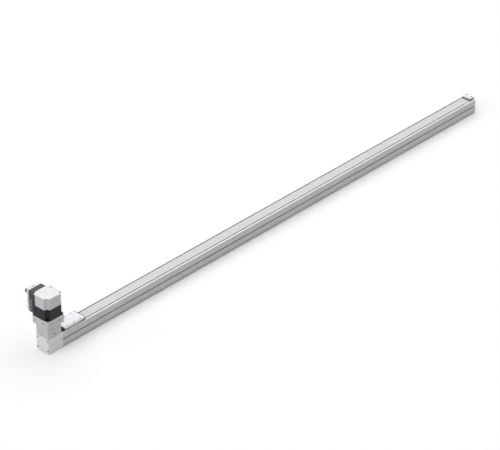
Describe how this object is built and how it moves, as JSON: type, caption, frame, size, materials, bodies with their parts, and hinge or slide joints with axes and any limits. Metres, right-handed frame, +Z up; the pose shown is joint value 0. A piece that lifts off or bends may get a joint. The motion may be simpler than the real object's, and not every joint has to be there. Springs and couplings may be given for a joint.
{
  "type": "belt driven linear axis",
  "caption": "Long extruded belt driven linear axis with a covered slide near an upright stepper drive that carries a side electronics box with keys and round connectors",
  "frame": {"origin": "on the base plane, under the turning axis of the drive pulley", "axes": "+X along the travel, from the drive to the far end; +Y towards the electronics box; +Z up, from the base to the slide face"},
  "size_m": [1.9891, 0.1038, 0.1952],
  "materials": {
    "anodised_profile": "satin anodised, drawn along its length",
    "clear_aluminium": "machined and clear anodised, fine satin",
    "cast_aluminium": "bead blasted casting",
    "pulley_aluminium": "turned",
    "strip_steel": "rolled stainless strip",
    "rail_steel": "ground",
    "bearing_steel": "ground and polished",
    "rotor_steel": "stacked sheets, ground",
    "black_screws": "black oxide",
    "zinc_screws": "zinc plated",
    "black_lamination": "black coating over stacked sheets",
    "copper_wire": "enamelled copper winding",
    "nickel_connector": "nickel plated",
    "dark_grey_plastic": "fine moulded texture",
    "white_plastic": "fine moulded texture",
    "panel_film": "printed film",
    "key_plastic": "moulded",
    "plug_plastic": "moulded",
    "black_plastic": "moulded",
    "green_plastic": "moulded",
    "green_board": "lacquered board",
    "black_rubber": "matt",
    "red_rubber": "matt"
  },
  "bodies": {
    "frame": {"profile": "anodised_profile", "guide_rail": "rail_steel", "rail_screws": "black_screws", "cover_strip": "strip_steel", "drive_block": "clear_aluminium", "block_screws": "black_screws", "strip_clamp": "clear_aluminium", "strip_clamp_screws": "black_screws", "coupling_housing": "clear_aluminium", "housing_screws": "black_screws", "access_plugs": "plug_plastic", "bearing_outers": "bearing_steel", "motor_flange": "cast_aluminium", "motor_screws": "black_screws", "stator_stack": "black_lamination", "stator_coils": "copper_wire", "end_bell": "cast_aluminium", "rear_bearing_plate": "clear_aluminium", "end_bell_screws": "zinc_screws", "electronics_frame": "dark_grey_plastic", "control_panel": "panel_film", "circuit_board": "green_board", "electronics_cover": "white_plastic", "electronics_screws": "black_screws", "power_connector": "nickel_connector", "signal_connector": "nickel_connector", "connector_inserts": "black_plastic", "end_cap": "clear_aluminium", "end_cap_screws": "black_screws", "end_cover": "white_plastic", "end_cover_seal": "black_rubber", "idler_yoke": "clear_aluminium", "idler_axle": "bearing_steel", "idler_bearing_inners": "bearing_steel", "tension_screws": "black_screws", "end_buffers": "black_rubber", "belt": "black_rubber"},
    "carriage": {"slide_plate": "clear_aluminium", "slide_end_caps": "black_plastic", "saddle": "clear_aluminium", "saddle_screws": "black_screws", "runner_block": "rail_steel", "runner_end_caps": "green_plastic", "belt_clamp": "clear_aluminium", "belt_clamp_screws": "black_screws"},
    "drive_train": {"drive_pulley": "pulley_aluminium", "pulley_shaft": "bearing_steel", "lower_hub": "pulley_aluminium", "coupling_spider": "red_rubber", "upper_hub": "pulley_aluminium", "hub_screws": "black_screws", "motor_shaft": "bearing_steel", "rotor": "rotor_steel", "encoder_disc": "black_plastic", "shaft_bearing_inners": "bearing_steel"},
    "idler": {"idler_pulley": "pulley_aluminium", "idler_bearing_outers": "bearing_steel"},
    "top_key": {"key_top": "key_plastic"},
    "middle_key": {"key_middle": "key_plastic"},
    "bottom_key": {"key_bottom": "key_plastic"}
  },
  "joints": [
    {"name": "carriage_slide", "type": "slide", "parent": "frame", "child": "carriage", "axis": [1, 0, 0], "range_m": [0, 1.8], "deforming": ["belt"]},
    {"name": "drive_turn", "type": "hinge", "parent": "frame", "child": "drive_train", "pos_m": [0, 0, 0.036], "axis": [0, 0, 1], "continuous": true},
    {"name": "idler_turn", "type": "hinge", "parent": "frame", "child": "idler", "pos_m": [1.9245, 0, 0.036], "axis": [0, 0, 1], "continuous": true},
    {"name": "top_key_press", "type": "slide", "parent": "frame", "child": "top_key", "axis": [1, 0, 0], "range_m": [0, 0.0006], "stiffness_N_per_m": 400},
    {"name": "middle_key_press", "type": "slide", "parent": "frame", "child": "middle_key", "axis": [1, 0, 0], "range_m": [0, 0.0006], "stiffness_N_per_m": 400},
    {"name": "bottom_key_press", "type": "slide", "parent": "frame", "child": "bottom_key", "axis": [1, 0, 0], "range_m": [0, 0.0006], "stiffness_N_per_m": 400}
  ],
  "couplings": [
    {"joint": "drive_turn", "follows": "carriage_slide", "rad_per_m": 74.8},
    {"joint": "idler_turn", "follows": "carriage_slide", "rad_per_m": 74.8}
  ]
}
